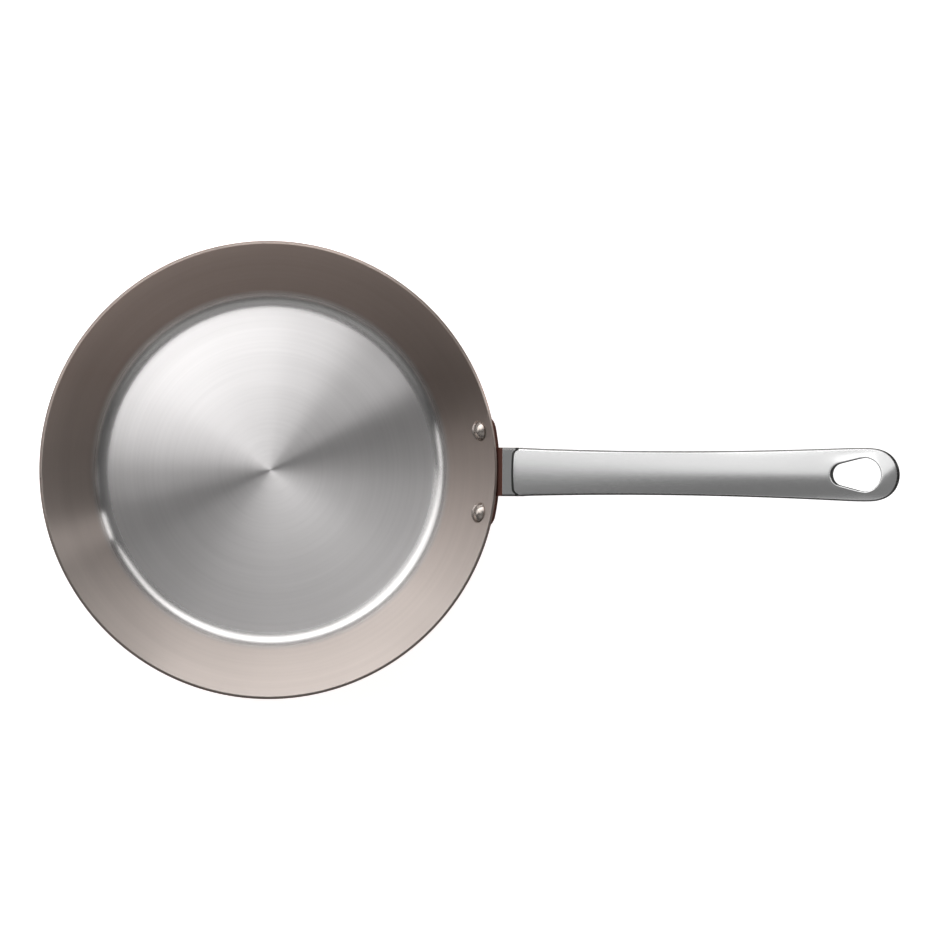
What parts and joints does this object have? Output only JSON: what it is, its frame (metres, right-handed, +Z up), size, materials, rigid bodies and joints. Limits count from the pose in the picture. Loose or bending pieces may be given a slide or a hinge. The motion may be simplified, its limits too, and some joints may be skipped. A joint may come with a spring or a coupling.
{
  "type": "frying pan",
  "caption": "Round frying pan with straight flared walls, a copper outside, a brushed steel inside and a long cast steel handle with a pear-shaped hanging hole, riveted under the rim.",
  "frame": {"origin": "centre of the flat base, on the surface that the pan stands on", "axes": "+Z up along the pan's axis, +X along the handle from the pan to its tip, +Y to the left when looking from the pan along the handle"},
  "size_m": [0.4472, 0.2398, 0.1012],
  "materials": {
    "lining_steel": "satin, brushed in circles round the pan's axis",
    "core_aluminium": "bare cut edge, seen only at the rim",
    "shell_copper": "polished copper",
    "handle_steel": "cast stainless steel, polished satin",
    "rivet_steel": "polished stainless steel"
  },
  "bodies": {
    "root": {"steel_lining": "lining_steel", "aluminium_core": "core_aluminium", "copper_shell": "shell_copper", "handle": "handle_steel", "rivet_left": "rivet_steel", "rivet_right": "rivet_steel"}
  },
  "joints": []
}
